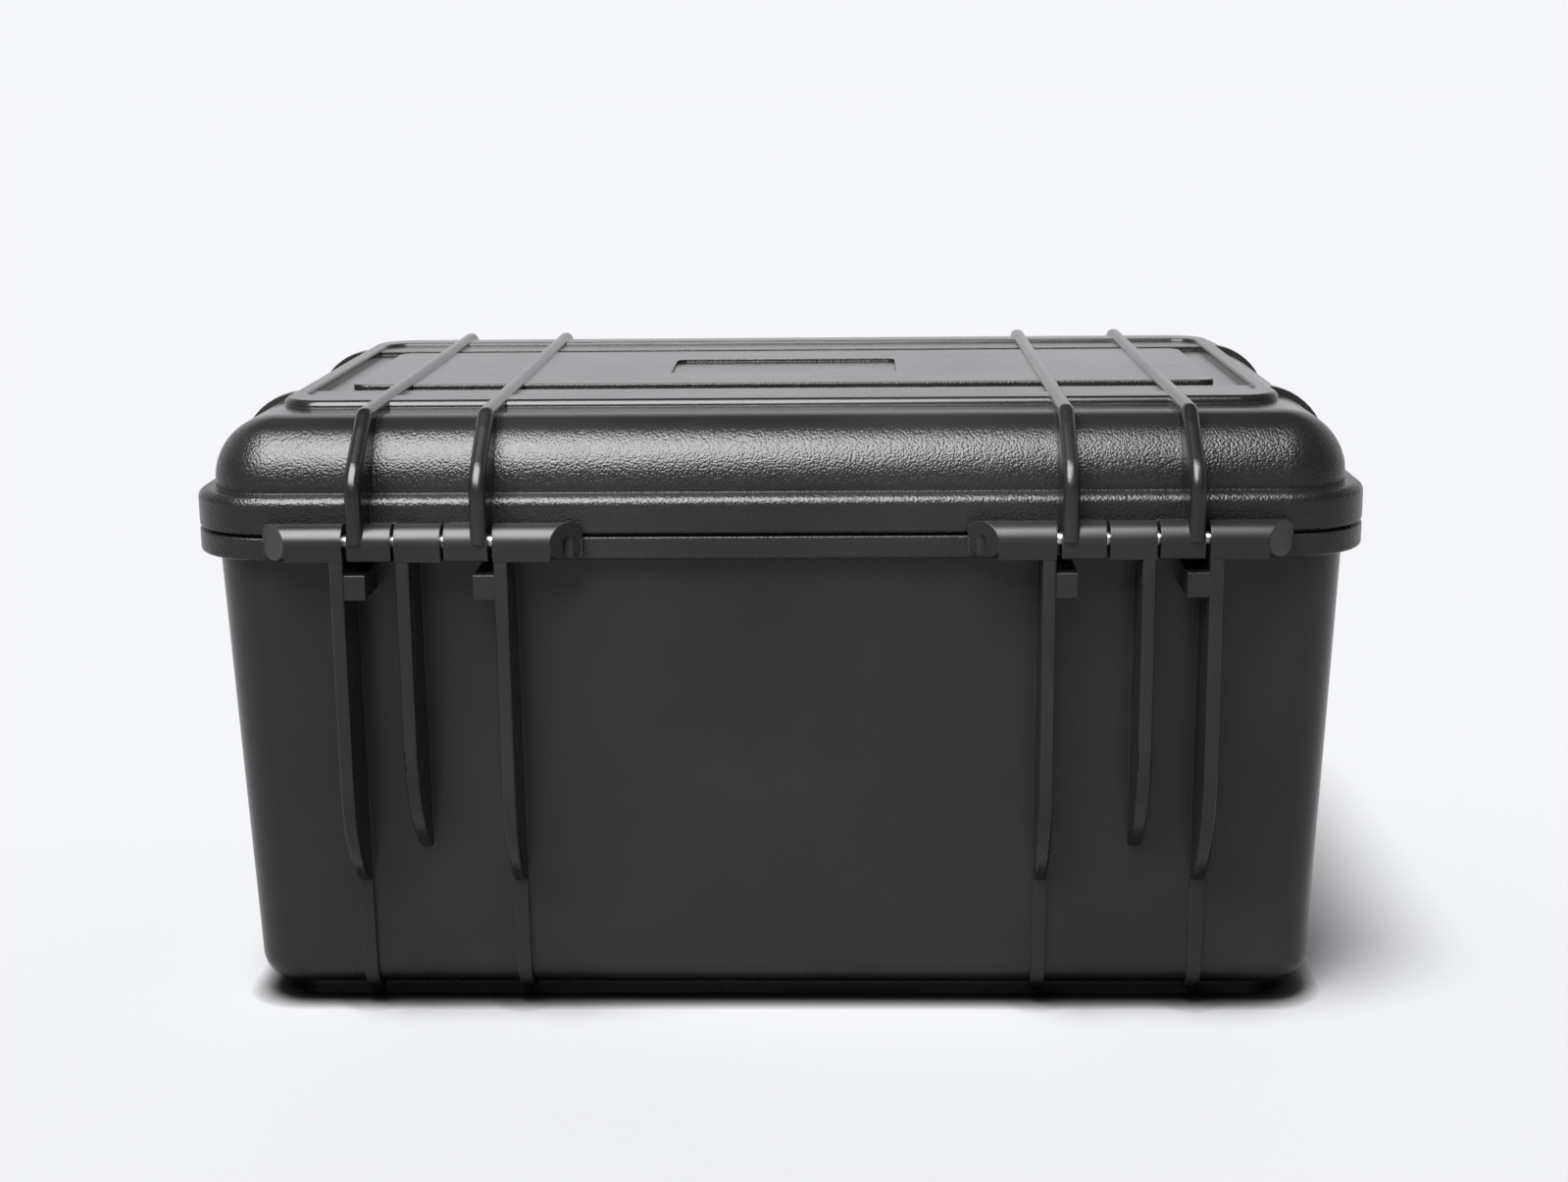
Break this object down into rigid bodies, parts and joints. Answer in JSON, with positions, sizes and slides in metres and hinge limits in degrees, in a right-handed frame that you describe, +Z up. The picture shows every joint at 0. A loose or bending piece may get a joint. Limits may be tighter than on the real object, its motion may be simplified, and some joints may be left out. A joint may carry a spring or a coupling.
{
  "type": "precision instrument case",
  "caption": "Rigid black moulded instrument case with a hinged domed lid, rim seal, draw latches, folding carry handle, purge valve and foam lining with instrument pockets.",
  "frame": {"origin": "centre of the plinth's flat underside, on the surface that the case stands on", "axes": "+Z up out of the case, front with latches and handle towards -Y, hinge towards +Y, +X along the long side"},
  "size_m": [0.36, 0.2897, 0.1923],
  "materials": {
    "case_plastic": "matte",
    "latch_plastic": "satin",
    "seal_rubber": "matte",
    "grip_rubber": "matte",
    "pin_steel": "satin",
    "plate_steel": "satin",
    "foam": "matte"
  },
  "bodies": {
    "base": {"base_shell": "case_plastic", "base_foam": "foam", "base_floor_pad": "foam", "hinge_pin_left": "pin_steel", "hinge_pin_right": "pin_steel", "handle_pin_left": "pin_steel", "handle_pin_right": "pin_steel", "valve_body": "latch_plastic", "valve_gasket": "seal_rubber", "valve_nut": "latch_plastic", "lock_plate_base_left": "plate_steel", "lock_plate_base_right": "plate_steel"},
    "lid": {"lid_shell": "case_plastic", "lid_seal": "seal_rubber", "lid_foam": "foam", "latch_pin_upper_left": "pin_steel", "latch_pin_upper_right": "pin_steel", "lock_plate_lid_left": "plate_steel", "lock_plate_lid_right": "plate_steel"},
    "latch_arm_left": {"latch_arm_left": "latch_plastic", "latch_pin_lower_left": "pin_steel"},
    "latch_arm_right": {"latch_arm_right": "latch_plastic", "latch_pin_lower_right": "pin_steel"},
    "latch_lever_left": {"latch_lever_left": "latch_plastic"},
    "latch_lever_right": {"latch_lever_right": "latch_plastic"},
    "handle": {"handle_frame": "latch_plastic", "handle_grip": "grip_rubber"},
    "valve_knob": {"valve_knob": "latch_plastic"}
  },
  "joints": [
    {"name": "lid_hinge", "type": "hinge", "parent": "base", "child": "lid", "pos_m": [0, 0.13, 0.1546], "axis": [-1, 0, 0], "range_deg": [0, 115]},
    {"name": "latch_swing_left", "type": "hinge", "parent": "lid", "child": "latch_arm_left", "pos_m": [-0.106, -0.1285, 0.161], "axis": [-1, 0, 0], "range_deg": [-12, 90]},
    {"name": "latch_lever_left", "type": "hinge", "parent": "latch_arm_left", "child": "latch_lever_left", "pos_m": [-0.106, -0.13675, 0.15151], "axis": [-1, 0, 0], "range_deg": [0, 55]},
    {"name": "latch_swing_right", "type": "hinge", "parent": "lid", "child": "latch_arm_right", "pos_m": [0.106, -0.1285, 0.161], "axis": [-1, 0, 0], "range_deg": [-12, 90]},
    {"name": "latch_lever_right", "type": "hinge", "parent": "latch_arm_right", "child": "latch_lever_right", "pos_m": [0.106, -0.13675, 0.15151], "axis": [-1, 0, 0], "range_deg": [0, 55]},
    {"name": "handle_swing", "type": "hinge", "parent": "base", "child": "handle", "pos_m": [0, -0.1275, 0.131], "axis": [-1, 0, 0], "range_deg": [0, 100]},
    {"name": "valve_turn", "type": "hinge", "parent": "base", "child": "valve_knob", "pos_m": [0, -0.125, 0.05], "axis": [0, -1, 0], "range_deg": [0, 270]}
  ]
}
